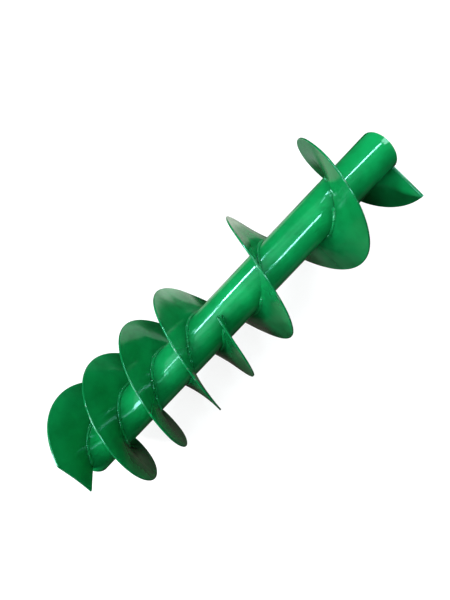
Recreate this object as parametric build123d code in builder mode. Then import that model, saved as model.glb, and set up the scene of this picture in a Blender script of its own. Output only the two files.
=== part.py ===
"""Left-hand screw-conveyor auger: welded rotor with one full-length flight, a
second flight roughly opposite it over the drive half, a keyed drive hub and a
sealed ball bearing in the idler end.

Axis along +X, drive end face at X = 0, +Z up, millimetres.
Angles are in degrees about +X, from +Y (0) through +Z (90).  Both flights are
left-handed: the angle falls as X rises.
"""
from build123d import *
import os
from math import atan, cos, pi, radians, sin

os.makedirs("parts", exist_ok=True)

# ---------------------------------------------------------------- core tube sizes
TUBE_OD = 60.3            # DN50 steel pipe
TUBE_WALL = 4.0
TUBE_LEN = 590.0
TUBE_R = TUBE_OD / 2
BORE_R = TUBE_R - TUBE_WALL
GROOVE = 2.5              # leg of the V-groove between a hub and the tube end

# ------------------------------------------------------------------- flight sizes
FLIGHT_R = 90.0           # flight outside radius
SHEET_T = 3.0             # flight sheet thickness
ROOT_GAP = 0.02           # sheet edge to tube
PITCH_NOM = 136.0         # sets the axial thickness of the sheet

# Each flight is a chain of pressed rings of equal turn.
# JOINT_X: where the rings start and end, drive end first.
MAIN_START = 1368.0       # angle at the first joint
MAIN_RING_TURN = 387.45
MAIN_JOINT_X = [4.3, 147.3, 295.0, 447.3, 587.0]
SECOND_START = 480.6
SECOND_RING_TURN = 375.3
SECOND_JOINT_X = [4.5, 137.8, 277.5]

# straight trim across the outer corner at the drive end of the second flight
TRIM_A = (14.1, 88.9)     # Y, Z of two points on the trim line
TRIM_B = (-35.5, 60.0)
TRIM_OVERRUN_A = 0.6      # cutter past A and past B, as shares of the length AB
TRIM_OVERRUN_B = 0.9
TRIM_CUT_HEIGHT = 90
TRIM_CUT_X0 = -10
TRIM_CUT_LEN = 45

# -------------------------------------------------------------- flight weld sizes
SEAM_HALF = 1.1           # half the butt-seam gap, degrees of turn
SEAM_SLACK = 0.02         # degrees between seam weld and sheet end
SEAM_CROWN = 0.7          # weld crown over each sheet face
SEAM_ROOT_EDGE = 0.1      # radial set-back of the seam at the root: its edges,
SEAM_ROOT_MID = 0.02      # and its middle
SEAM_RIM_EDGE = 0.9       # the same at the flight rim
SEAM_RIM_MID = 0.1

WELD_GAP = 0.03           # between a weld and the metal beside it
FILLET_LEG = 4.0          # flight root weld leg
BEAD_FAR = 0.80 * FILLET_LEG    # the two middle points of the convex bead face
BEAD_NEAR = 0.42 * FILLET_LEG

RUN_END = 2.5             # degrees left clear at each end of a root run
LAST_END = 14.0           # the last main run stops short of the tube end
STITCH = 70.0             # degrees of turn per stitch
STITCHES = 3              # per pressed ring

# ---------------------------------------------------------------------- hub sizes
HUB_GAP = 0.05
HUB_R = BORE_R - HUB_GAP
HUB_CHAMFER = 1.5         # outer edge of a hub's end inside the tube

DRIVE_HUB_LEN = 45.0
DRIVE_BORE_R = 15.0
DRIVE_BORE_CHAMFER = 0.5
KEY_W = 8.0
KEY_TOP = 18.3            # keyway floor from the axis
KEY_OVERCUT = 1           # keyway cutter past each hub end

IDLER_HUB_LEN = 30.0
IDLER_CLEAR_R = 16.0
SHOULDER_X = 573.0
SEAT_R = 21.0             # bearing seat, 42 mm bore
SEAT_CHAMFER = 0.8
IDLER_WELD_CROWN = 0.7    # stands proud of the tube end

# ------------------------------------------------------------------ bearing sizes
BRG_W = 12.0
BRG_BORE_R = 10.0
BRG_OUT_R = SEAT_R - 0.01
BRG_CHAMFER = 0.6
BRG_X0 = SHOULDER_X + 0.02    # inboard side of the bearing
BRG_X1 = BRG_X0 + BRG_W
BRG_MID = BRG_X0 + BRG_W / 2
OUTER_LAND_R = 17.6
INNER_LAND_R = 13.4
RACE_R = 3.2
BALL_R = 3.175
BALL_PITCH_R = 15.5
BALL_COUNT = 9

CAGE_HALF_T = 1.0         # radial
CAGE_HALF_W = 4.1         # axial
POCKET_GAP = 0.12         # ball to pocket
POCKET_OVERCUT = 4        # pocket cutter past the ball pitch radius

SEAL_RECESS = 1.2         # depth of the seal recess in each side
SEAL_R = 18.9
SEAL_T = 0.9
SEAL_GAP_X = 0.08         # seal to recess floor
SEAL_GAP_OUT = 0.05
SEAL_GAP_IN = 0.10

# ------------------------------------------------------------ retaining ring sizes
CLIP_X0 = 585.10          # inboard side of the ring groove
CLIP_W = 1.85             # groove width
CLIP_T = 1.75             # ring thickness
CLIP_GROOVE_R = 22.25
CLIP_OUT_R = CLIP_GROOVE_R - 0.05
CLIP_IN_R = CLIP_OUT_R - 3.0
CLIP_OFFSET = 0.7         # inner circle below the axis
CLIP_GAP_W = 7.0          # opening at the bottom
CLIP_GAP_H = 8.0
CLIP_GAP_Z = -20
LUG_Y = 5.3
LUG_R = 2.35
LUG_Z = -18.35
EYE_R = 1.25
EYE_Z = -18.1


# ------------------------------------------------------------------------ helpers
def save(solid, name):
    """Label a piece and write its STEP file."""
    solid.label = name
    export_step(solid, f"parts/{name}.step")


def axial_plane(x, deg):
    """Half-plane through the axis: local x along the auger, local y radial."""
    a = radians(deg)
    return Plane(origin=(x, 0, 0), x_dir=(1, 0, 0), z_dir=(0, -sin(a), cos(a)))


def cross_plane(x, deg):
    """Plane across the auger: local x radial at deg, normal +X."""
    a = radians(deg)
    return Plane(origin=(x, 0, 0), x_dir=(0, cos(a), sin(a)), z_dir=(1, 0, 0))


def screw_rail(x, deg, pitch, turn):
    """Left-hand helix on the tube, from (x, deg) through turn degrees towards +X."""
    local = Helix(pitch=pitch, height=pitch * turn / 360, radius=TUBE_R,
                  lefthand=True, mode=Mode.PRIVATE)
    return local.moved(cross_plane(x, deg).location)


def screw_sweep(profile, runs):
    """Part made of one profile swept along each run (x, angle, pitch, turn)."""
    with BuildPart() as swept:
        for x, deg, pitch, turn in runs:
            with BuildLine():
                add(screw_rail(x, deg, pitch, turn))
            with BuildSketch(axial_plane(x, deg)):
                Polygon(*profile, align=None)
            sweep(is_frenet=True)
    return swept.part


def ring_runs(start, turn, joint_x):
    """One run (x, angle, pitch, turn) per pressed ring, joint to joint."""
    return [(x0, start - i * turn, (x1 - x0) / (turn / 360), turn)
            for i, (x0, x1) in enumerate(zip(joint_x, joint_x[1:]))]


def stretch(run, skip, turn):
    """Stretch of a run that starts skip degrees in and lasts turn degrees."""
    x, deg, pitch, _ = run
    return x + pitch * skip / 360, deg - skip, pitch, turn


def trimmed(run, lead, tail):
    """Run shortened by lead and tail degrees at its two ends."""
    return stretch(run, lead, run[3] - lead - tail)


def half_thickness(r):
    """Half the axial thickness of the sheet at radius r."""
    return SHEET_T / 2 / cos(atan(PITCH_NOM / (2 * pi * r)))


MAIN_RINGS = ring_runs(MAIN_START, MAIN_RING_TURN, MAIN_JOINT_X)
SECOND_RINGS = ring_runs(SECOND_START, SECOND_RING_TURN, SECOND_JOINT_X)

# ---------------------------------------------------------------------- core tube
with BuildPart() as core_tube:
    with BuildSketch(Plane.YZ):
        Circle(TUBE_R)
        Circle(BORE_R, mode=Mode.SUBTRACT)
    extrude(amount=TUBE_LEN)
    inner_rims = core_tube.edges().filter_by(GeomType.CIRCLE).group_by(SortBy.RADIUS)[0]
    chamfer(inner_rims, length=GROOVE)
save(core_tube.part, "core_tube")

# ------------------------------------------------------------------ flight sheets
SHEET_IN_R = TUBE_R + ROOT_GAP
T_IN = half_thickness(SHEET_IN_R)
T_OUT = half_thickness(FLIGHT_R)
# profiles are (X offset, radius) points
SHEET_PROFILE = [(-T_IN, SHEET_IN_R), (T_IN, SHEET_IN_R), (T_OUT, FLIGHT_R), (-T_OUT, FLIGHT_R)]


def flight_sheets(rings):
    """One sheet per ring, cut back for the seams but not at the flight's ends."""
    sheets = []
    for i, ring in enumerate(rings):
        lead = SEAM_HALF if i > 0 else 0
        tail = SEAM_HALF if i < len(rings) - 1 else 0
        sheets.append(screw_sweep(SHEET_PROFILE, [trimmed(ring, lead, tail)]))
    return sheets


for number, sheet in enumerate(flight_sheets(MAIN_RINGS), start=1):
    save(sheet, f"flight_main_{number}")

first_sheet, last_sheet = flight_sheets(SECOND_RINGS)

trim_dy = TRIM_B[0] - TRIM_A[0]
trim_dz = TRIM_B[1] - TRIM_A[1]
cut_y0 = TRIM_A[0] - TRIM_OVERRUN_A * trim_dy
cut_z0 = TRIM_A[1] - TRIM_OVERRUN_A * trim_dz
cut_y1 = TRIM_B[0] + TRIM_OVERRUN_B * trim_dy
cut_z1 = TRIM_B[1] + TRIM_OVERRUN_B * trim_dz
with BuildPart() as flight_second_1:
    add(first_sheet)
    with BuildSketch(Plane.YZ.offset(TRIM_CUT_X0)):
        Polygon((cut_y0, cut_z0), (cut_y1, cut_z1),
                (cut_y1, cut_z1 + TRIM_CUT_HEIGHT), (cut_y0, cut_z0 + TRIM_CUT_HEIGHT),
                align=None)
    extrude(amount=TRIM_CUT_LEN, mode=Mode.SUBTRACT)
save(flight_second_1.part, "flight_second_1")
save(last_sheet, "flight_second_2")

# -------------------------------------------------- butt seams between the rings
W_IN = T_IN + SEAM_CROWN
W_OUT = T_OUT + SEAM_CROWN
SEAM_PROFILE = [
    (-W_IN, SHEET_IN_R + SEAM_ROOT_EDGE),
    (0, SHEET_IN_R + SEAM_ROOT_MID),
    (W_IN, SHEET_IN_R + SEAM_ROOT_EDGE),
    (W_OUT, FLIGHT_R - SEAM_RIM_EDGE),
    (0, FLIGHT_R - SEAM_RIM_MID),
    (-W_OUT, FLIGHT_R - SEAM_RIM_EDGE),
]


def seam_welds(rings):
    """A weld in the gap after every ring but the last."""
    turn = 2 * (SEAM_HALF - SEAM_SLACK)
    return screw_sweep(SEAM_PROFILE, [stretch(ring, ring[3] - SEAM_HALF + SEAM_SLACK, turn)
                                      for ring in rings[:-1]])


save(seam_welds(MAIN_RINGS), "main_seam_welds")
save(seam_welds(SECOND_RINGS), "second_seam_weld")


# -------------------------------------------------------------- flight root welds
def bead_profile(side):
    """Convex fillet bead between tube and sheet face; side is +1 or -1 along X."""
    r0 = TUBE_R + WELD_GAP
    x0 = T_IN + WELD_GAP
    return [(side * x0, r0),
            (side * (x0 + FILLET_LEG), r0),
            (side * (x0 + BEAD_FAR), r0 + BEAD_NEAR),
            (side * (x0 + BEAD_NEAR), r0 + BEAD_FAR),
            (side * x0, r0 + FILLET_LEG)]


def root_runs(rings, last_tail):
    """+X face: one long run per ring; the last stops last_tail degrees short."""
    end = SEAM_HALF + RUN_END
    runs = [trimmed(ring, end, end) for ring in rings[:-1]]
    runs.append(trimmed(rings[-1], end, last_tail))
    return screw_sweep(bead_profile(1), runs)


def root_stitches(rings):
    """-X face: short stitches, evenly spaced along each ring."""
    return screw_sweep(bead_profile(-1), [
        stretch(ring, (k + 0.5) * ring[3] / STITCHES - STITCH / 2, STITCH)
        for ring in rings for k in range(STITCHES)])


save(root_runs(MAIN_RINGS, LAST_END), "main_root_weld_runs")
save(root_runs(SECOND_RINGS, SEAM_HALF + RUN_END), "second_root_weld_runs")
save(root_stitches(MAIN_RINGS), "main_root_weld_stitches")
save(root_stitches(SECOND_RINGS), "second_root_weld_stitches")

# ---------------------------------------------------------------------- drive hub
with BuildPart() as drive_hub:
    with BuildSketch(Plane.YZ):
        Circle(HUB_R)
        Circle(DRIVE_BORE_R, mode=Mode.SUBTRACT)
    extrude(amount=DRIVE_HUB_LEN)
    # weld groove at the end face, then both bore rims, then the inboard outer rim
    end_rims = drive_hub.edges().filter_by(GeomType.CIRCLE).group_by(Axis.X)[0]
    chamfer(end_rims.group_by(SortBy.RADIUS)[-1], length=GROOVE)
    bore_rims = drive_hub.edges().filter_by(GeomType.CIRCLE).group_by(SortBy.RADIUS)[0]
    chamfer(bore_rims, length=DRIVE_BORE_CHAMFER)
    inboard_rims = drive_hub.edges().filter_by(GeomType.CIRCLE).group_by(Axis.X)[-1]
    chamfer(inboard_rims.group_by(SortBy.RADIUS)[-1], length=HUB_CHAMFER)
    # keyway right through, on the +Z side
    with BuildSketch(Plane.YZ.offset(-KEY_OVERCUT)):
        with Locations((0, KEY_TOP / 2)):
            Rectangle(KEY_W, KEY_TOP)
    extrude(amount=DRIVE_HUB_LEN + 2 * KEY_OVERCUT, mode=Mode.SUBTRACT)
save(drive_hub.part, "drive_hub")

# both hub welds: V section with its point between hub and bore
HUB_WELD_IN_R = HUB_R - GROOVE + 2 * WELD_GAP
HUB_WELD_OUT_R = BORE_R + GROOVE - 2 * WELD_GAP
HUB_WELD_POINT_R = BORE_R - HUB_GAP / 2
HUB_WELD_DEPTH = GROOVE - 3 * WELD_GAP

with BuildPart() as drive_hub_weld:
    with BuildSketch(Plane.XY):
        Polygon((0, HUB_WELD_IN_R), (0, HUB_WELD_OUT_R),
                (HUB_WELD_DEPTH, HUB_WELD_POINT_R), align=None)
    revolve(axis=Axis.X)
save(drive_hub_weld.part, "drive_hub_weld")

# ---------------------------------------------------- idler hub (bearing housing)
IDLER_X0 = TUBE_LEN - IDLER_HUB_LEN
CLIP_X1 = CLIP_X0 + CLIP_W
with BuildPart() as idler_hub:
    with BuildSketch(Plane.XY):
        Polygon((IDLER_X0, IDLER_CLEAR_R),
                (IDLER_X0, HUB_R - HUB_CHAMFER), (IDLER_X0 + HUB_CHAMFER, HUB_R),
                (TUBE_LEN - GROOVE, HUB_R), (TUBE_LEN, HUB_R - GROOVE),
                (TUBE_LEN, SEAT_R + SEAT_CHAMFER), (TUBE_LEN - SEAT_CHAMFER, SEAT_R),
                (CLIP_X1, SEAT_R), (CLIP_X1, CLIP_GROOVE_R),
                (CLIP_X0, CLIP_GROOVE_R), (CLIP_X0, SEAT_R),
                (SHOULDER_X, SEAT_R), (SHOULDER_X, IDLER_CLEAR_R), align=None)
    revolve(axis=Axis.X)
save(idler_hub.part, "idler_hub")

weld_inner = (TUBE_LEN, HUB_WELD_IN_R)
weld_outer = (TUBE_LEN, HUB_WELD_OUT_R)
with BuildPart() as idler_hub_weld:
    with BuildSketch(Plane.XY):
        with BuildLine():
            Polyline(weld_outer, (TUBE_LEN - HUB_WELD_DEPTH, HUB_WELD_POINT_R), weld_inner)
            ThreePointArc(weld_inner, (TUBE_LEN + IDLER_WELD_CROWN, BORE_R), weld_outer)
        make_face()
    revolve(axis=Axis.X)
save(idler_hub_weld.part, "idler_hub_weld")


# ------------------------------------------------------------------ idler bearing
def race_ring(outline):
    """Revolve an (X, radius) outline with the ball race cut out of it."""
    with BuildPart() as ring:
        with BuildSketch(Plane.XY):
            Polygon(*outline, align=None)
            with Locations((BRG_MID, BALL_PITCH_R)):
                Circle(RACE_R, mode=Mode.SUBTRACT)
        revolve(axis=Axis.X)
    return ring.part


def seal(x):
    """Flat seal washer whose inboard side is at x."""
    with BuildPart() as washer:
        with BuildSketch(Plane.YZ.offset(x)):
            Circle(SEAL_R - SEAL_GAP_OUT)
            Circle(INNER_LAND_R + SEAL_GAP_IN, mode=Mode.SUBTRACT)
        extrude(amount=SEAL_T)
    return washer.part


RECESS_X0 = BRG_X0 + SEAL_RECESS    # floors of the two seal recesses
RECESS_X1 = BRG_X1 - SEAL_RECESS
save(race_ring([
    (BRG_X0, SEAL_R), (BRG_X0, BRG_OUT_R - BRG_CHAMFER), (BRG_X0 + BRG_CHAMFER, BRG_OUT_R),
    (BRG_X1 - BRG_CHAMFER, BRG_OUT_R), (BRG_X1, BRG_OUT_R - BRG_CHAMFER), (BRG_X1, SEAL_R),
    (RECESS_X1, SEAL_R), (RECESS_X1, OUTER_LAND_R),
    (RECESS_X0, OUTER_LAND_R), (RECESS_X0, SEAL_R),
]), "bearing_outer_ring")
save(race_ring([
    (BRG_X0, INNER_LAND_R), (BRG_X1, INNER_LAND_R),
    (BRG_X1, BRG_BORE_R + BRG_CHAMFER), (BRG_X1 - BRG_CHAMFER, BRG_BORE_R),
    (BRG_X0 + BRG_CHAMFER, BRG_BORE_R), (BRG_X0, BRG_BORE_R + BRG_CHAMFER),
]), "bearing_inner_ring")

with BuildPart(Plane.YZ.offset(BRG_MID)) as bearing_balls:
    with PolarLocations(BALL_PITCH_R, BALL_COUNT):
        Sphere(BALL_R)
save(bearing_balls.part, "bearing_balls")

with BuildPart() as bearing_cage:
    with BuildSketch(Plane.YZ.offset(BRG_MID - CAGE_HALF_W)):
        Circle(BALL_PITCH_R + CAGE_HALF_T)
        Circle(BALL_PITCH_R - CAGE_HALF_T, mode=Mode.SUBTRACT)
    extrude(amount=2 * CAGE_HALF_W)
    # radial ball pockets
    for k in range(BALL_COUNT):
        angle = 2 * pi * k / BALL_COUNT
        with BuildSketch(Plane(origin=(BRG_MID, 0, 0), x_dir=(1, 0, 0),
                               z_dir=(0, cos(angle), sin(angle)))):
            Circle(BALL_R + POCKET_GAP)
        extrude(amount=BALL_PITCH_R + POCKET_OVERCUT, mode=Mode.SUBTRACT)
save(bearing_cage.part, "bearing_cage")

save(seal(RECESS_X1 + SEAL_GAP_X), "bearing_seal_outboard")
save(seal(RECESS_X0 - SEAL_GAP_X - SEAL_T), "bearing_seal_inboard")

# internal retaining ring: eccentric, open at the bottom (-Z), two eyed lugs
with BuildPart() as bearing_retaining_ring:
    with BuildSketch(Plane.YZ.offset(CLIP_X0 + (CLIP_W - CLIP_T) / 2)):
        Circle(CLIP_OUT_R)
        with Locations((0, -CLIP_OFFSET)):
            Circle(CLIP_IN_R, mode=Mode.SUBTRACT)
        with Locations((0, CLIP_GAP_Z)):
            Rectangle(CLIP_GAP_W, CLIP_GAP_H, mode=Mode.SUBTRACT)
        with Locations((-LUG_Y, LUG_Z), (LUG_Y, LUG_Z)):
            Circle(LUG_R)
        with Locations((-LUG_Y, EYE_Z), (LUG_Y, EYE_Z)):
            Circle(EYE_R, mode=Mode.SUBTRACT)
    extrude(amount=CLIP_T)
save(bearing_retaining_ring.part, "bearing_retaining_ring")
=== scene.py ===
# Green enamelled screw conveyor rotor: a core tube with a main flight along its whole length, a
# shorter second flight interleaved at the drive end, weld beads, two hubs and a ball bearing.
# The axis is X, with the drive end at x = 0 and the idler end at x = 590 mm. Angles about the
# axis run from +Y toward +Z. Shapes are in mm, the stage, lights and camera in metres.
import math
from collections import namedtuple

import bpy
import bmesh
import numpy as np
from mathutils import Matrix, Vector


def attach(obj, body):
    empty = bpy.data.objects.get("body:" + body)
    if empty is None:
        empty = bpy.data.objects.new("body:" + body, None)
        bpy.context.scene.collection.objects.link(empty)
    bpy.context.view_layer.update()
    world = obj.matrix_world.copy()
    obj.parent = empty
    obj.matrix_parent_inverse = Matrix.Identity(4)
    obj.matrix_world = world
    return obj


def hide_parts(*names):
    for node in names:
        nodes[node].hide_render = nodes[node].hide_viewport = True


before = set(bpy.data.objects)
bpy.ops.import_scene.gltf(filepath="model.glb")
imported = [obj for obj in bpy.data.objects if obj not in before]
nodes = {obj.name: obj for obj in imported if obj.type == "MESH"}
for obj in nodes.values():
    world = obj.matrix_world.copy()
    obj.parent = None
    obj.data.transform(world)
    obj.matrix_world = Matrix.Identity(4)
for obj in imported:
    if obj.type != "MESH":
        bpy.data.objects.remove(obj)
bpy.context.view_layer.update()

# ----------------------------------------------------------------- dimensions
MM = 0.001
TUBE_R = 30.15
WALL = 4.0
BORE_R = TUBE_R - WALL
HUB_R = 26.10
TUBE_LEN = 590.0
CHAMFER = 2.5
FLIGHT_R = 90.0
ROOT_R = TUBE_R + 0.02       # foot of the flight sheet, just clear of the tube
FLIGHT_DEPTH = FLIGHT_R - ROOT_R
SHEET_T = 3.0
NOMINAL_PITCH = 136.0        # sets how far the slope thickens the sheet measured along X
THINNING = 0.20              # share of thickness lost at the rim when the ring is pulled out
LEAN_POWER = 1.25            # how the lean grows from root to rim
SEAM_GAP = 1.1               # degrees each ring stops short of a butt seam
BEAD_LEG = 3.9
RUN_GAP = SEAM_GAP + 2.5     # degrees a root bead stops short of a ring's end
STITCH_TURN = 70.0           # degrees
KINK_DEPTH = 6.0

# joints: (angle in degrees, x) where rings start, meet and end; the angle falls as x grows
# lean:   (half-turns, mm) the pressed edge leans toward +X from a true helix
# short:  (half-turns, mm) the cut rim falls short of full radius
Helix = namedtuple("Helix", "joints lean short")


def from_half_turns(joints):
    return [(half_turns * 180.0, x) for half_turns, x in joints]


MAIN = Helix(
    joints=from_half_turns([
        (7.6000, 4.3), (5.4475, 147.3), (3.2950, 295.0), (1.1425, 447.3), (-1.0100, 587.0)]),
    lean=[
        (-1.01, -1.2), (-0.75, 0.2), (-0.5, 1.3), (-0.25, 1.3), (0.0, 0.3), (0.25, -1.3),
        (0.5, -1.6), (0.75, 0.7), (1.0, 2.8), (1.25, 2.5), (1.5, 0.6), (1.75, -2.3),
        (2.0, -4.0), (2.25, -3.5), (2.5, -1.1), (2.75, 1.5), (3.0, 3.0), (3.25, 2.4),
        (3.5, 0.2), (3.75, -2.1), (4.0, -2.7), (4.25, -0.7), (4.5, 1.4), (4.75, 1.0),
        (5.0, -0.5), (5.25, -1.6), (5.5, -1.9), (5.75, -1.7), (6.0, -0.5), (6.25, 1.4),
        (6.5, 2.1), (6.75, 0.3), (7.0, -1.6), (7.25, -0.9), (7.6, 0.8)],
    short=[
        (-1.01, 2.9), (-0.75, 2.3), (-0.5, 1.5), (-0.25, 0.3), (0.0, 0.0), (1.75, 0.0),
        (2.0, 0.9), (2.25, 0.1), (2.5, 0.0), (3.0, 0.0), (3.25, 0.4), (3.5, 0.4),
        (3.75, 0.8), (4.0, 1.0), (4.25, 0.5), (4.5, 0.0), (4.75, 0.1), (5.0, 0.4),
        (5.25, 0.3), (5.5, 0.0), (5.75, 0.0), (6.0, 0.4), (6.25, 1.5), (6.5, 2.0),
        (6.75, 0.8), (7.0, 0.0), (7.25, 0.0), (7.6, 0.3)])

SECOND = Helix(
    joints=from_half_turns([(2.670, 4.5), (0.585, 137.8), (-1.500, 277.5)]),
    lean=[
        (-1.5, -0.6), (-1.25, -0.7), (-1.0, -0.4), (-0.75, 0.6), (-0.5, 1.4), (-0.25, 1.4),
        (0.0, 1.7), (0.25, 3.0), (0.5, 2.2), (0.75, -1.4), (1.0, -4.0), (1.25, -2.4),
        (1.5, 1.0), (1.75, 2.0), (2.0, 1.4), (2.25, 0.7), (2.5, 0.2), (2.67, 0.0)],
    short=[
        (-1.5, 0.0), (0.0, 0.0), (0.25, 1.5), (0.5, 1.8), (0.75, 0.0), (1.25, 0.0),
        (1.5, 0.4), (1.75, 1.0), (2.0, 0.5), (2.25, 0.2), (2.5, 0.3), (2.67, 0.3)])

# straight cut across the start of the second flight, through two (y, z) points
TRIM_A = np.array([14.1, 88.9])
TRIM_B = np.array([-35.5, 60.0])
TRIM_Y, TRIM_Z = TRIM_B - TRIM_A
TRIM_NORMAL = np.array([-TRIM_Z, TRIM_Y]) / math.hypot(TRIM_Y, TRIM_Z)
TRIM_NORMAL *= np.sign(TRIM_A @ TRIM_NORMAL)
TRIM_DISTANCE = TRIM_A @ TRIM_NORMAL


# --------------------------------------------------------------- mesh helpers
def new_object(name, verts, faces, sharp, attributes=None):
    """Smooth-shaded object, sharp above an angle in degrees, with float point attributes."""
    mesh = bpy.data.meshes.new(name)
    mesh.from_pydata([tuple(v) for v in verts], [], faces)
    mesh.validate()
    bm = bmesh.new()
    bm.from_mesh(mesh)
    bmesh.ops.recalc_face_normals(bm, faces=bm.faces)
    bm.to_mesh(mesh)
    bm.free()
    for key, values in (attributes or {}).items():
        attribute = mesh.attributes.new(key, "FLOAT", "POINT")
        attribute.data.foreach_set("value", np.asarray(values, np.float32))
    for polygon in mesh.polygons:
        polygon.use_smooth = True
    mesh.set_sharp_from_angle(angle=math.radians(sharp))
    ob = bpy.data.objects.new(name, mesh)
    bpy.context.scene.collection.objects.link(ob)
    return ob


def loft(rings, ends):
    """Skin over equal closed rings; ends is "capped", "open" or "looped"."""
    count, size = len(rings), len(rings[0])
    verts = [point for ring in rings for point in ring]
    faces = []
    for i in range(count if ends == "looped" else count - 1):
        a, b = i * size, (i + 1) % count * size
        for j in range(size):
            k = (j + 1) % size
            faces.append((a + j, a + k, b + k, b + j))
    if ends == "capped":
        faces.append(tuple(range(size - 1, -1, -1)))
        faces.append(tuple((count - 1) * size + j for j in range(size)))
    return verts, faces


def weld_object(name, strips, ends="capped"):
    """Weld beads as one object. A strip is its rings and each ring's phase in the ripple."""
    verts, faces, ripple = [], [], []
    for rings, phases in strips:
        points, strip_faces = loft(rings, ends)
        faces += [tuple(i + len(verts) for i in face) for face in strip_faces]
        verts += points
        ripple += [phase for phase in phases for _ in rings[0]]
    return new_object(name, verts, faces, sharp=60.0, attributes={"ripple": ripple})


def polar(x, r, angle):
    return (x * MM, r * math.cos(angle) * MM, r * math.sin(angle) * MM)


def wave(t, seed):
    """Smooth repeatable wobble, mostly between -1 and 1."""
    rng = np.random.RandomState(seed)
    total = 0.0
    for k in range(5):
        frequency = (0.6 + 0.9 * k) * (0.85 + 0.3 * rng.rand())
        total += math.pow(0.72, k) * math.sin(frequency * t + rng.rand() * 6.283)
    return total / 2.2


def half_thickness(r):
    """Half the sheet's thickness along X at radius r, before thinning."""
    return SHEET_T / 2 / np.cos(np.arctan(NOMINAL_PITCH / (2 * np.pi * r)))


def lane(joints, index):
    """Start x, start angle, pitch and turn in degrees of one ring of a flight."""
    (deg_a, x_a), (deg_b, x_b) = joints[index], joints[index + 1]
    turn = deg_a - deg_b
    return x_a, deg_a, (x_b - x_a) / (turn / 360.0), turn


def table_at(table, deg):
    half_turns, values = zip(*table)
    return float(np.interp(deg / 180.0, half_turns, values))


# -------------------------------------------------------------------- flights
SLICE_STEP = 1.2                        # degrees
END_SLICES = np.array([0.12, 0.4])      # degrees in from an end, to round the cut edge
LIP_SHARE = np.array([0.93, 0.72, 0.38])  # thickness left at the three outermost radii


def kink(radii, to_end):
    """The puller's jaw mark: a crest from 21 mm back at the root out to the end's rim corner."""
    back = radii * math.sin(math.radians(min(to_end, 89.0)))
    crest = 21.0 * np.clip((FLIGHT_R - radii) / FLIGHT_DEPTH, 0.02, 1) + 0.5
    belly = np.clip((radii - ROOT_R) * (FLIGHT_R - radii), 0, None)
    depth = KINK_DEPTH * 4 * belly / FLIGHT_DEPTH ** 2
    ratio = back / crest
    tent = np.where(ratio < 1, ratio, np.exp(-(ratio - 1) * crest / 22.0))
    softening = 0.10 * np.exp(-((ratio - 1) / 0.18) ** 2)
    return depth * (tent - softening)


def rim_radius(helix, deg, seed, trimmed):
    rim = FLIGHT_R - 0.12 - table_at(helix.short, deg) + 0.12 * wave(deg / 40.0, seed + 7)
    rim = min(rim, FLIGHT_R - 0.02)
    if trimmed:
        phi = math.radians(deg)
        facing = math.cos(phi) * TRIM_NORMAL[0] + math.sin(phi) * TRIM_NORMAL[1]
        if facing > 0.2:
            rim = min(rim, TRIM_DISTANCE / facing)
    return rim


def flight(name, helix, index, seed, trimmed, kinked):
    """One sheet ring. Slices run along the helix, each up the +X face and down the -X face."""
    x_start, deg_start, pitch, turn = lane(helix.joints, index)
    start = 0.0 if index == 0 else SEAM_GAP
    stop = turn if index == len(helix.joints) - 2 else turn - SEAM_GAP
    slices = np.linspace(start, stop, int((stop - start) / SLICE_STEP))
    slices = np.sort(np.concatenate([slices, start + END_SLICES, stop - END_SLICES]))
    rings, edge, root, tone = [], [], [], []
    for t in slices:
        deg = deg_start - t
        phi = math.radians(deg)
        rim = rim_radius(helix, deg, seed, trimmed and t < 45)
        to_edge = min(t - start, stop - t)
        pinch = 0.35 * (1 - to_edge / 0.3) ** 2 if to_edge < 0.3 else 0.0
        radii = np.concatenate([
            [ROOT_R, ROOT_R + 0.5], np.linspace(ROOT_R + 3, rim - 3, 15),
            [rim - 1.6, rim - 0.9, rim - 0.42, rim - 0.12, rim]])
        outward = np.clip((radii - ROOT_R) / FLIGHT_DEPTH, 0, 1)
        half = half_thickness(radii) * (1.0 - THINNING * outward)
        half[-3:] = half_thickness(rim) * (1.0 - THINNING) * LIP_SHARE
        half = np.maximum(half - pinch, 0.05)

        lean = table_at(helix.lean, deg) + 0.35 * wave(deg / 25.0, seed)
        across = np.clip((radii - ROOT_R) / (rim - ROOT_R), 0, 1)
        dimple = 0.22 * wave(deg / 14.0, seed + 3) * np.sin(np.pi * across)
        middle = x_start + pitch * t / 360.0 + lean * outward ** LEAN_POWER + dimple
        if kinked:
            middle = middle - kink(radii, stop - t)
        # nothing reaches past the drive end of the tube
        middle = np.maximum(middle, half)

        y, z = radii * math.cos(phi), radii * math.sin(phi)
        face_a = np.stack([middle + half, y, z], 1)
        face_b = np.stack([middle - half, y, z], 1)
        rings.append(np.concatenate([face_a, face_b[::-1]]) * MM)

        # nearness to a cut edge (ends measured as arc at 55 mm radius) and to the root
        near_edge = np.exp(-(rim - radii) / 1.3)
        near_edge = np.maximum(near_edge, math.exp(-to_edge * math.radians(1) * 55 / 1.3))
        near_root = np.exp(-(radii - ROOT_R) / 7.0)
        edge += [*near_edge, *near_edge[::-1]]
        root += [*near_root, *near_root[::-1]]
        tone += [wave(deg / 90.0, seed + 11)] * (2 * len(radii))

    verts, faces = loft(rings, "open")
    size = len(rings[0])
    # each end is closed by a ladder of quads between the two faces
    for base, order in ((0, 1), (len(verts) - size, -1)):
        for j in range(size // 2 - 1):
            far = base + size - 1 - j
            faces.append((base + j, far, far - 1, base + j + 1)[::order])
    return new_object(name, verts, faces, sharp=48.0,
                      attributes={"edge": edge, "root": root, "tone": tone})


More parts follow.
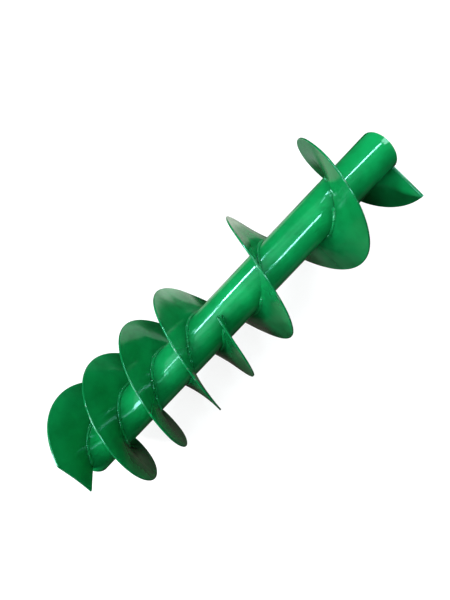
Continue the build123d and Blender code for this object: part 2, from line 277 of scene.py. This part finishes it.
# ---------------------------------------------------------------------- beads
def bead(x_start, deg_start, pitch, turn, side, seed):
    """Fillet bead of overlapping scallops; side is +1 or -1 for the face toward +X or -X."""
    foot_r = TUBE_R + 0.03
    length = math.radians(turn) * foot_r / math.cos(math.atan(pitch / (2 * math.pi * foot_r)))
    steps = int(length / 0.42)
    rng = np.random.RandomState(seed)
    marks = [0.0]
    while marks[-1] < length:
        marks.append(marks[-1] + 2.9 * (0.72 + 0.56 * rng.rand()))
    sizes = 0.90 + 0.16 * (rng.rand(len(marks)) - 0.5)
    face = float(half_thickness(TUBE_R)) - 0.05
    rings, phases = [], []
    for k in range(steps + 1):
        s = length * k / steps
        t = turn * k / steps
        phi = math.radians(deg_start - t)
        x = x_start + pitch * t / 360.0
        i = int(np.searchsorted(marks, s, side="right")) - 1
        phase = (s - marks[i]) / (marks[i + 1] - marks[i])
        # steep leading lip, long tail under the next scallop
        hump = 1 - (1 - min(phase / 0.28, 1.0)) ** 2
        hump *= 1 - 0.55 * max(0.0, (phase - 0.28) / 0.72) ** 1.3
        leg = BEAD_LEG * (sizes[i] * (0.86 + 0.13 * hump) + 0.035 * wave(s / 9.0, seed))
        to_end = min(s, length - s)
        leg *= 0.30 + 0.70 * math.sqrt(max(0.0, min(1.0, to_end / 3.5)))
        ring = []
        arc_steps = 8
        for j in range(arc_steps + 1):
            theta = math.pi / 2 * j / arc_steps
            lift = 1 + (0.02 + 0.16 * hump) * math.sin(2 * theta)
            out = face + leg * math.cos(theta) ** 1.5 * lift
            up = leg * math.sin(theta) ** 1.5 * lift
            ring.append(polar(x + side * out, foot_r + up, phi))
        ring.append(polar(x + side * face, foot_r, phi))
        rings.append(ring)
        phases.append(phase)
    return rings, phases


def root_beads(name, spans, side, seed):
    return weld_object(name, [bead(*span, side, seed + 13 * k) for k, span in enumerate(spans)])


def stretch(x_start, deg_start, pitch, skip, turn):
    """Part of a lane that begins skip degrees in."""
    return x_start + pitch * skip / 360.0, deg_start - skip, pitch, turn


def run_spans(joints, last_gap=RUN_GAP):
    """One long bead per ring."""
    spans = []
    for i in range(len(joints) - 1):
        *begin, turn = lane(joints, i)
        gap = RUN_GAP if i < len(joints) - 2 else last_gap
        spans.append(stretch(*begin, RUN_GAP, turn - RUN_GAP - gap))
    return spans


def stitch_spans(joints):
    """Three short beads per ring, evenly spread."""
    spans = []
    for i in range(len(joints) - 1):
        *begin, turn = lane(joints, i)
        for k in range(3):
            skip = (k + 0.5) * turn / 3 - STITCH_TURN / 2
            spans.append(stretch(*begin, skip, STITCH_TURN))
    return spans


# section of a seam on one face: (share of half width, share of crown height)
SEAM_SECTION = [(-1.0, -0.06), (-0.62, 0.62), (0.0, 1.0), (0.62, 0.62), (1.0, -0.06)]


def seam_strip(helix, index, seed):
    """Butt weld after one ring: a low crowned strip standing on both faces, root to rim."""
    x_start, deg_start, pitch, turn = lane(helix.joints, index)
    r_first = TUBE_R + 0.15
    r_last = FLIGHT_R - 0.4 - table_at(helix.short, deg_start - turn)
    steps = 110
    rings, phases = [], []
    for k in range(steps + 1):
        r = r_first + (r_last - r_first) * k / steps
        s = r - r_first
        wobble = wave(s / 6.0, seed + index)
        phase = (s / 2.3 + 0.3 * wobble) % 1.0
        swell = 0.10 * math.sin(math.pi * phase)
        half_width = 1.55 + 0.22 * wobble + swell
        crown = 0.42 + swell + 0.05 * wobble
        crown *= min(1.0, 0.2 + 0.8 * min(k, steps - k) / 4.0)
        outward = (r - TUBE_R) / (FLIGHT_R - TUBE_R)
        half = float(half_thickness(r)) * (1.0 - THINNING * outward)
        ring = []
        for side in (1, -1):
            for across, height in SEAM_SECTION[::side]:
                t = turn + math.degrees(across * half_width / r)
                deg = deg_start - t
                lean = table_at(helix.lean, deg) * outward ** LEAN_POWER
                x = x_start + pitch * t / 360.0 + lean + side * (half + crown * height)
                ring.append(polar(x, r, math.radians(deg)))
        rings.append(ring)
        phases.append(phase)
    return rings, phases


def seams(name, helix, seed):
    return weld_object(name, [seam_strip(helix, i, seed) for i in range(len(helix.joints) - 2)])


# --------------------------------------------------------------- turned pieces
def core_tube(name):
    """Outer skin in short bands, bore, and chamfers inside both ends."""
    profile = [(0.0, BORE_R + CHAMFER), (0.0, TUBE_R - 0.5), (0.15, TUBE_R - 0.15)]
    profile += [(x, TUBE_R) for x in np.linspace(0.5, TUBE_LEN - 0.5, 60)]
    profile += [(TUBE_LEN - 0.15, TUBE_R - 0.15), (TUBE_LEN, TUBE_R - 0.5),
                (TUBE_LEN, BORE_R + CHAMFER), (TUBE_LEN - CHAMFER, BORE_R), (CHAMFER, BORE_R)]
    segments = 192
    rings = [[polar(x, r, 2 * math.pi * k / segments) for x, r in profile]
             for k in range(segments)]
    return new_object(name, *loft(rings, "looped"), sharp=35.0)


def ring_weld(name, x_face, outward, seed, crown):
    """Rippled ring bead in the V-groove between hub and tube; outward is the sign along X."""
    segments, ripples = 420, 62
    groove_r = (BORE_R + HUB_R) / 2
    rings, phases = [], []
    for k in range(segments):
        angle = 2 * math.pi * k / segments
        wobble = wave(angle * 6, seed) * math.sin(angle / 2) ** 0.3
        phase = (k / segments * ripples) % 1.0
        height = crown * (0.8 + 0.12 * wobble + 0.25 * math.sin(math.pi * phase))
        # (out from the tube's end face, radially from the middle of the groove)
        section = [(-2.44, 0.0), (-0.02, 2.46), (height * 0.55, 1.45), (height, 0.15),
                   (height * 0.6, -1.25), (-0.02, -2.40)]
        rings.append([polar(x_face + outward * u, groove_r + v, angle) for u, v in section])
        phases.append(phase)
    return weld_object(name, [(rings, phases)], ends="looped")


# --------------------------------------------------------------- node helpers
class Nodes:
    """Builds shader nodes in a tree. An input may be given a value or a socket to link."""

    def __init__(self, tree):
        self.tree = tree

    def feed(self, socket, value):
        if isinstance(value, bpy.types.NodeSocket):
            self.tree.links.new(value, socket)
        else:
            socket.default_value = value

    def add(self, kind, inputs=None, **settings):
        node = self.tree.nodes.new("ShaderNode" + kind)
        for key, value in settings.items():
            setattr(node, key, value)
        for key, value in (inputs or {}).items():
            self.feed(node.inputs[key], value)
        return node

    def remap(self, value, src, out=(0.0, 1.0), **settings):
        inputs = {"Value": value, "From Min": src[0], "From Max": src[1],
                  "To Min": out[0], "To Max": out[1]}
        return self.add("MapRange", inputs, **settings).outputs["Result"]

    def math(self, operation, *values):
        return self.add("Math", dict(enumerate(values)), operation=operation).outputs[0]

    def vector(self, operation, *values, scale=None):
        node = self.add("VectorMath", dict(enumerate(values)), operation=operation)
        if scale is not None:
            self.feed(node.inputs["Scale"], scale)
        return node.outputs["Value" if operation in ("DOT_PRODUCT", "LENGTH") else 0]

    def mix(self, factor, a, b):
        # sockets 0, 6, 7 and output 2 are the factor and the colours
        return self.add("Mix", {0: factor, 6: a, 7: b}, data_type="RGBA").outputs[2]


class Material(Nodes):
    """A material on object coordinates in metres, with a Principled BSDF."""

    def __init__(self, name):
        self.material = bpy.data.materials.new(name)
        self.material.use_nodes = True
        super().__init__(self.material.node_tree)
        self.principled = self.tree.nodes["Principled BSDF"]
        self.coords = self.add("TexCoord").outputs["Object"]

    def noise(self, scale, detail, rough=None, coords=None):
        inputs = {"Vector": coords or self.coords, "Scale": scale, "Detail": detail}
        if rough is not None:
            inputs["Roughness"] = rough
        return self.add("TexNoise", inputs).outputs["Fac"]

    def ramp(self, factor, stops):
        node = self.add("ValToRGB", {"Fac": factor})
        elements = node.color_ramp.elements
        for element, stop in ((elements[0], stops[0]), (elements[1], stops[-1])):
            element.position, element.color = stop
        for position, color in stops[1:-1]:
            elements.new(position).color = color
        return node.outputs["Color"]

    def attribute(self, name):
        return self.add("Attribute", attribute_name=name).outputs["Fac"]

    def occlusion(self, distance):
        return self.add("AmbientOcclusion", {"Distance": distance}, samples=4).outputs["AO"]

    def bump(self, height, strength, distance, normal=None):
        inputs = {"Strength": strength, "Distance": distance, "Height": height}
        if normal is not None:
            inputs["Normal"] = normal
        return self.add("Bump", inputs).outputs["Normal"]

    def set(self, key, value):
        self.feed(self.principled.inputs[key], value)


def rgb(r, g, b):
    """Linear RGBA of an 8-bit sRGB colour."""
    def linear(c):
        c /= 255.0
        return c / 12.92 if c <= 0.04045 else ((c + 0.055) / 1.055) ** 2.4
    return (linear(r), linear(g), linear(b), 1.0)


# ------------------------------------------------------------------ materials
def enamel(name, kind):
    """Glossy green enamel. kind is "sheet", "tube" or "weld"."""
    m = Material(name)
    big = m.noise(scale=9.0, detail=3, rough=0.55)
    mid = m.noise(scale=55.0, detail=4, rough=0.6)
    fine = m.noise(scale=420.0, detail=3, rough=0.55)
    base = m.ramp(big, [(0.30, rgb(20, 142, 79)), (0.50, rgb(24, 157, 91)),
                        (0.72, rgb(32, 170, 103))])
    base = m.mix(m.remap(mid, src=(0.45, 0.75), out=(0.0, 0.28)), base, rgb(10, 108, 58))
    if kind == "sheet":
        # paint drawn thin over the cut edge, chipped to grey steel here and there
        edge = m.attribute("edge")
        base = m.mix(m.remap(edge, src=(0.35, 0.95), out=(0.0, 0.62)), base, rgb(10, 92, 54))
        chip = m.math("MULTIPLY", m.remap(edge, src=(0.55, 0.9)),
                      m.remap(m.noise(scale=130.0, detail=3, rough=0.6), src=(0.60, 0.66)))
        base = m.mix(m.math("MULTIPLY", chip, 0.75), base, rgb(120, 138, 128))
        # blotchy grime and painted shade darken the sheet toward its root, in the corner where
        # it meets the tube
        root_grime_and_shade = m.math("MULTIPLY", m.attribute("root"),
                       m.remap(mid, src=(0.35, 0.70), out=(0.15, 0.9)))
        base = m.mix(m.math("MULTIPLY", root_grime_and_shade, 0.55), base, rgb(6, 62, 34))
    if kind == "weld":
        # painted shade in the creases: darker where one scallop meets the next
        ripple = m.attribute("ripple")
        base = m.mix(m.remap(ripple, src=(0.0, 0.35), out=(0.45, 0.0)), base, rgb(4, 58, 32))
    # painted shade: the enamel is darkened where ambient occlusion finds it hemmed in, in
    # corners and between flights
    shade = m.remap(m.occlusion(distance=0.022), src=(0.20, 0.80), out=(0.55, 0.0))
    m.set("Base Color", m.mix(shade, base, rgb(6, 54, 30)))
    m.set("Roughness", m.remap(mid, src=(0.3, 0.7), out=(0.10, 0.17)))
    m.set("Specular IOR Level", 0.5)
    m.set("Specular Tint", (0.42, 1.0, 1.0, 1.0))
    m.set("Coat Weight", 0.35)
    m.set("Coat Roughness", m.remap(fine, src=(0.3, 0.7), out=(0.03, 0.06)))
    m.set("Coat IOR", 1.5)
    weld = kind == "weld"
    normal = m.bump(fine, strength=0.25 if weld else 0.10, distance=0.0004)
    normal = m.bump(mid, strength=0.35 if weld else 0.14, distance=0.0009, normal=normal)
    if kind == "sheet":
        normal = m.bump(big, strength=0.35, distance=0.0040, normal=normal)
    m.set("Normal", normal)
    # the clear gloss on top carries only the orange peel
    peel = m.noise(scale=190.0, detail=2, rough=0.5)
    m.set("Coat Normal", m.bump(peel, strength=0.10, distance=0.00035))
    return m.material


def steel(name, color, rough, turned=True, rust_and_crevice_shade=0.2):
    """Bare steel. Turned faces carry tool rings along the bore and across the faces."""
    m = Material(name)
    clouds = m.noise(scale=38.0, detail=4, rough=0.6)
    spots = m.noise(scale=210.0, detail=3, rough=0.6)
    if turned:
        x, y, z = m.add("SeparateXYZ", {0: m.coords}).outputs
        square_sum = m.math("ADD", m.math("MULTIPLY", y, y), m.math("MULTIPLY", z, z))
        radius = m.math("SQRT", square_sum)
        coords = m.add("CombineXYZ", {0: x, 1: radius}).outputs[0]
        grain = m.noise(scale=1500.0, detail=2.0, coords=coords)
    else:
        grain = m.noise(scale=700.0, detail=3, rough=0.5)
    dark = tuple(c * 0.66 for c in color)
    base = m.mix(m.remap(clouds, src=(0.35, 0.7), out=(0.0, 0.5)), color + (1.0,), dark + (1.0,))
    rust, dirt_and_shade_color = (0.13, 0.075, 0.04, 1.0), (0.03, 0.026, 0.02, 1.0)
    base = m.mix(m.remap(spots, src=(0.62, 0.80), out=(0.0, rust_and_crevice_shade)), base, rust)
    # dirt and painted shade darken the steel in crevices, masked by ambient occlusion
    crevice_dirt_and_shade = m.remap(m.occlusion(distance=0.004), src=(0.3, 0.9), out=(rust_and_crevice_shade * 2, 0.0))
    m.set("Base Color", m.mix(crevice_dirt_and_shade, base, dirt_and_shade_color))
    m.set("Metallic", 0.72)
    m.set("Roughness", m.remap(grain, src=(0.3, 0.7), out=(rough * 0.75, rough * 1.3)))
    m.set("Normal", m.bump(grain, strength=0.30 if turned else 0.18, distance=0.00025))
    return m.material


def rubber(name):
    m = Material(name)
    grain = m.noise(scale=260.0, detail=4, rough=0.6)
    m.set("Base Color", m.ramp(grain, [(0.3, rgb(24, 24, 25)), (0.7, rgb(44, 43, 42))]))
    m.set("Roughness", m.remap(grain, src=(0.3, 0.7), out=(0.55, 0.75)))
    m.set("Normal", m.bump(grain, strength=0.2, distance=0.0002))
    return m.material


def nylon(name):
    m = Material(name)
    grain = m.noise(scale=180.0, detail=3, rough=0.5)
    m.set("Base Color", m.ramp(grain, [(0.3, rgb(170, 156, 122)), (0.7, rgb(196, 184, 150))]))
    m.set("Roughness", m.remap(grain, src=(0.3, 0.7), out=(0.42, 0.55)))
    m.set("Subsurface Weight", 0.15)
    m.set("Normal", m.bump(grain, strength=0.12, distance=0.0002))
    return m.material


green_sheet = enamel("enamel_sheet", "sheet")
green_tube = enamel("enamel_tube", "tube")
green_weld = enamel("enamel_weld", "weld")
turned_steel = steel("turned_steel", color=(0.66, 0.66, 0.65), rough=0.34)
bearing_steel = steel("bearing_steel", color=(0.74, 0.74, 0.74), rough=0.22)
ball_steel = steel("ball_steel", color=(0.78, 0.78, 0.80), rough=0.06, turned=False, rust_and_crevice_shade=0.05)
spring_steel = steel("spring_steel", color=(0.16, 0.16, 0.17), rough=0.38, turned=False)
seal_rubber = rubber("seal_rubber")
cage_nylon = nylon("cage_nylon")


# --------------------------------------------------------------------- pieces
def dress(ob, material):
    ob.data.materials.clear()
    ob.data.materials.append(material)


def put(ob, material, stands_for):
    dress(ob, material)
    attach(ob, "rotor")
    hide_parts(stands_for)


def put_weld(ob, stands_for):
    put(ob, green_weld, stands_for)


put(core_tube("core_tube_skin"), green_tube, "core_tube")

for label, helix, seed in (("main", MAIN, 100), ("second", SECOND, 300)):
    for i in range(len(helix.joints) - 1):
        skin = flight(f"flight_{label}_skin_{i + 1}", helix, i, seed,
                      trimmed=label == "second" and i == 0, kinked=label == "main" and i == 3)
        put(skin, green_sheet, f"flight_{label}_{i + 1}")

put_weld(seams("main_seam_beads", MAIN, seed=40), "main_seam_welds")
put_weld(seams("second_seam_bead", SECOND, seed=60), "second_seam_weld")
for label, spans, seed in (("main", run_spans(MAIN.joints, last_gap=14.0), 500),
                           ("second", run_spans(SECOND.joints), 700)):
    put_weld(root_beads(f"{label}_root_beads", spans, side=1, seed=seed),
             f"{label}_root_weld_runs")
for label, helix, seed in (("main", MAIN, 900), ("second", SECOND, 1100)):
    spans = stitch_spans(helix.joints)
    put_weld(root_beads(f"{label}_root_stitches", spans, side=-1, seed=seed),
             f"{label}_root_weld_stitches")
put_weld(ring_weld("drive_hub_bead", x_face=0.0, outward=-1.0, seed=21, crown=-0.12),
         "drive_hub_weld")
put_weld(ring_weld("idler_hub_bead", x_face=TUBE_LEN, outward=1.0, seed=22, crown=0.52),
         "idler_hub_weld")

for name, material in (
        ("drive_hub", turned_steel), ("idler_hub", turned_steel),
        ("bearing_outer_ring", bearing_steel), ("bearing_inner_ring", bearing_steel),
        ("bearing_balls", ball_steel), ("bearing_cage", cage_nylon),
        ("bearing_seal_outboard", seal_rubber), ("bearing_seal_inboard", seal_rubber),
        ("bearing_retaining_ring", spring_steel)):
    dress(nodes[name], material)

# ---------------------------------------------------------------------- floor
CENTER = (0.30, 0.0, 0.0)
FLOOR_Z = -(FLIGHT_R + 0.3) * MM
FLOOR_LOW = (0.90, 0.90, 0.90, 1)
FLOOR_HIGH = (0.93, 0.93, 0.93, 1)
FLOOR_BOUNCE = (0.03, 0.027, 0.02, 1)   # the dark colour that the part sees
# pale glowing ovals that only the part sees: x, y, x radius, y radius, strength, colour
PATCHES = [
    (0.36, 0.185, 0.22, 0.12, 0.60, (1, 0.98, 0.92)),
    (0.455, 0.082, 0.05, 0.045, 0.36, (1, 0.98, 0.92)),
    (0.295, 0.092, 0.042, 0.038, 0.60, (1, 0.98, 0.92)),
    (0.555, 0.12, 0.09, 0.07, 0.22, (0.72, 1, 0.86)),
    (0.32, -0.04, 0.16, 0.05, 0.10, (1, 0.93, 0.80)),
    (0.385, -0.082, 0.07, 0.04, 0.16, (1, 0.96, 0.86)),
    (0.30, -0.40, 0.60, 0.30, 0.12, (1, 0.95, 0.86)),
    (0.12, -0.09, 0.20, 0.07, 0.05, (1, 0.93, 0.80)),
]


def floor_paper(name):
    """Pale paper to the camera, a dark bench with paler areas to every other ray."""
    m = Material(name)
    mottle = m.noise(scale=3.0, detail=3, rough=0.5)
    m.set("Base Color", m.ramp(mottle, [(0.3, FLOOR_LOW), (0.7, FLOOR_HIGH)]))
    m.set("Roughness", 0.9)
    m.set("Specular IOR Level", 0.1)
    glow = m.add("Emission", {"Color": (1, 1, 1, 1), "Strength": 1.02})
    glow_share = 0.72
    seen = m.add("MixShader", {0: glow_share, 1: m.principled.outputs[0], 2: glow.outputs[0]})
    shed = m.add("BsdfDiffuse", {"Color": FLOOR_BOUNCE}).outputs[0]
    position = m.add("NewGeometry").outputs["Position"]
    for x, y, radius_x, radius_y, strength, tint in PATCHES:
        offset = m.vector("SUBTRACT", position, (x, y, FLOOR_Z))
        scaled = m.vector("MULTIPLY", offset, (1 / radius_x, 1 / radius_y, 1.0))
        falloff = m.remap(m.vector("LENGTH", scaled), src=(1.0, 0.55), out=(0.0, strength),
                          interpolation_type="SMOOTHERSTEP")
        patch = m.add("Emission", {"Color": tint + (1,), "Strength": falloff})
        shed = m.add("AddShader", {0: shed, 1: patch.outputs[0]}).outputs[0]
    to_camera = m.add("LightPath").outputs["Is Camera Ray"]
    surface = m.add("MixShader", {0: to_camera, 1: shed, 2: seen.outputs[0]})
    m.feed(m.tree.nodes["Material Output"].inputs["Surface"], surface.outputs[0])
    return m.material


def floor_piece():
    bm = bmesh.new()
    bmesh.ops.create_grid(bm, x_segments=40, y_segments=40, size=4.0)
    mesh = bpy.data.meshes.new("floor")
    bm.to_mesh(mesh)
    bm.free()
    ob = bpy.data.objects.new("floor", mesh)
    ob.location = (CENTER[0], CENTER[1], FLOOR_Z)
    bpy.context.scene.collection.objects.link(ob)
    dress(ob, floor_paper("floor_paper"))


floor_piece()


# --------------------------------------------------------------------- lights
def pose(x_axis, y_axis, z_axis, location):
    matrix = Matrix((x_axis, y_axis, z_axis)).transposed().to_4x4()
    matrix.translation = location
    return matrix


def area(name, location, target, size, power, color=(1, 1, 1), along=(1, 0, 0)):
    """Area light aimed at target, its first side turned as near to along as it can be."""
    light = bpy.data.lights.new(name, "AREA")
    light.shape = "RECTANGLE"
    light.size, light.size_y = size
    light.energy = power
    light.color = color
    ob = bpy.data.objects.new(name, light)
    z = -(Vector(target) - Vector(location)).normalized()
    x = Vector(along)
    x = (x - z * x.dot(z)).normalized()
    ob.matrix_world = pose(x, z.cross(x), z, location)
    bpy.context.scene.collection.objects.link(ob)


# slim lamps, each drawing one bright line along the tube: name, from, to, width, watts
LAMPS = [
    ("lamp_1", (1.62, 0.34, 1.5), (1.22, 0.66, 1.5), 0.11, 4.8),
    ("lamp_2", (1.06, -0.30, 1.5), (0.62, -0.40, 1.5), 0.18, 5.0),
    ("lamp_3", (0.66, 1.90, 1.5), (0.20, 1.80, 1.5), 0.22, 16.0),
    ("lamp_4", (0.14, 1.52, 1.5), (-0.12, 1.28, 1.5), 0.16, 5.0),
    ("lamp_5", (-0.15, 0.50, 1.5), (-0.36, 0.42, 1.5), 0.10, 1.0),
    ("lamp_6", (-0.42, 0.20, 1.5), (-0.62, -0.16, 1.5), 0.36, 6.0),
]
for name, begin, end, width, power in LAMPS:
    begin, end = Vector(begin), Vector(end)
    span = end - begin
    area(name, (begin + end) / 2, CENTER, size=(span.length, width), power=power,
         color=(0.86, 1.0, 1.05), along=span)
# broad boxes lower down beyond each end
area("low_box_1", location=(1.30, 0.10, 0.50), target=(0.36, 0.05, 0.0), size=(0.50, 0.36),
     power=3.0)
area("low_box_2", location=(-0.62, 0.42, 0.62), target=(0.50, 0.05, 0.0), size=(0.50, 0.40),
     power=8.0)

# ---------------------------------------------------------------------- world
# soft patches of light: azimuth, elevation, half width (degrees), strength
SKY = [(0, 90, 26, 0.36), (90, 55, 22, 0.58), (135, 55, 22, 0.72)]
# seen only in reflections, low beyond each end, so that the hubs don't mirror black
GLINTS = [(0, 6, 34, 0.42), (180, 6, 34, 0.42)]
BACKDROP = (0.86, 0.88, 0.88, 1.0)


def lobes(tree, direction, rows):
    """Sum of soft-edged patches."""
    total = None
    for azimuth, elevation, half_width, strength in rows:
        a, e = math.radians(azimuth), math.radians(elevation)
        aim = (math.cos(e) * math.cos(a), math.cos(e) * math.sin(a), math.sin(e))
        edges = [math.cos(math.radians(half_width * share)) for share in (1.5, 0.35)]
        falloff = tree.remap(tree.vector("DOT_PRODUCT", direction, aim), src=edges,
                             interpolation_type="SMOOTHERSTEP")
        patch = tree.vector("SCALE", (strength,) * 3, scale=falloff)
        total = patch if total is None else tree.vector("ADD", total, patch)
    return total


def studio_world():
    world = bpy.data.worlds.new("studio")
    bpy.context.scene.world = world
    world.use_nodes = True
    world.node_tree.nodes.clear()
    tree = Nodes(world.node_tree)
    output = tree.add("OutputWorld")
    background = tree.add("Background", {"Strength": 1.0})
    tree.feed(output.inputs["Surface"], background.outputs[0])
    direction = tree.add("TexCoord").outputs["Generated"]
    path = tree.add("LightPath").outputs
    glints = lobes(tree, direction, GLINTS)
    shine = tree.vector("SCALE", glints, scale=path["Is Glossy Ray"])
    light = tree.vector("ADD", lobes(tree, direction, SKY), shine)
    tree.feed(background.inputs["Color"], tree.mix(path["Is Camera Ray"], light, BACKDROP))


studio_world()

# --------------------------------------------------------------------- camera
# looks almost straight down, with the frame turned about 46 degrees from the rotor's axis
CAMERA_AT = (0.30717, -0.024466, 0.475364)
CAMERA_RIGHT = Vector((0.6888607, -0.7244468, -0.0254522)).normalized()
CAMERA_BACK = Vector((0.0369231, 0.0, 0.9993181)).normalized()

cam_data = bpy.data.cameras.new("camera")
cam = bpy.data.objects.new("camera", cam_data)
bpy.context.scene.collection.objects.link(cam)
bpy.context.scene.camera = cam
camera_up = CAMERA_BACK.cross(CAMERA_RIGHT).normalized()
cam.matrix_world = pose(CAMERA_RIGHT, camera_up, CAMERA_BACK, CAMERA_AT)
cam_data.sensor_fit = "VERTICAL"
cam_data.sensor_height = 36.0
cam_data.sensor_width = 27.0
cam_data.lens = 20.222472
cam_data.shift_x = -0.027635833
cam_data.shift_y = 0.034775333
cam_data.clip_start = 0.01
cam_data.clip_end = 50.0

view = bpy.context.scene.view_settings
view.view_transform = "Standard"
view.look = "Medium High Contrast"
view.exposure = 0.0
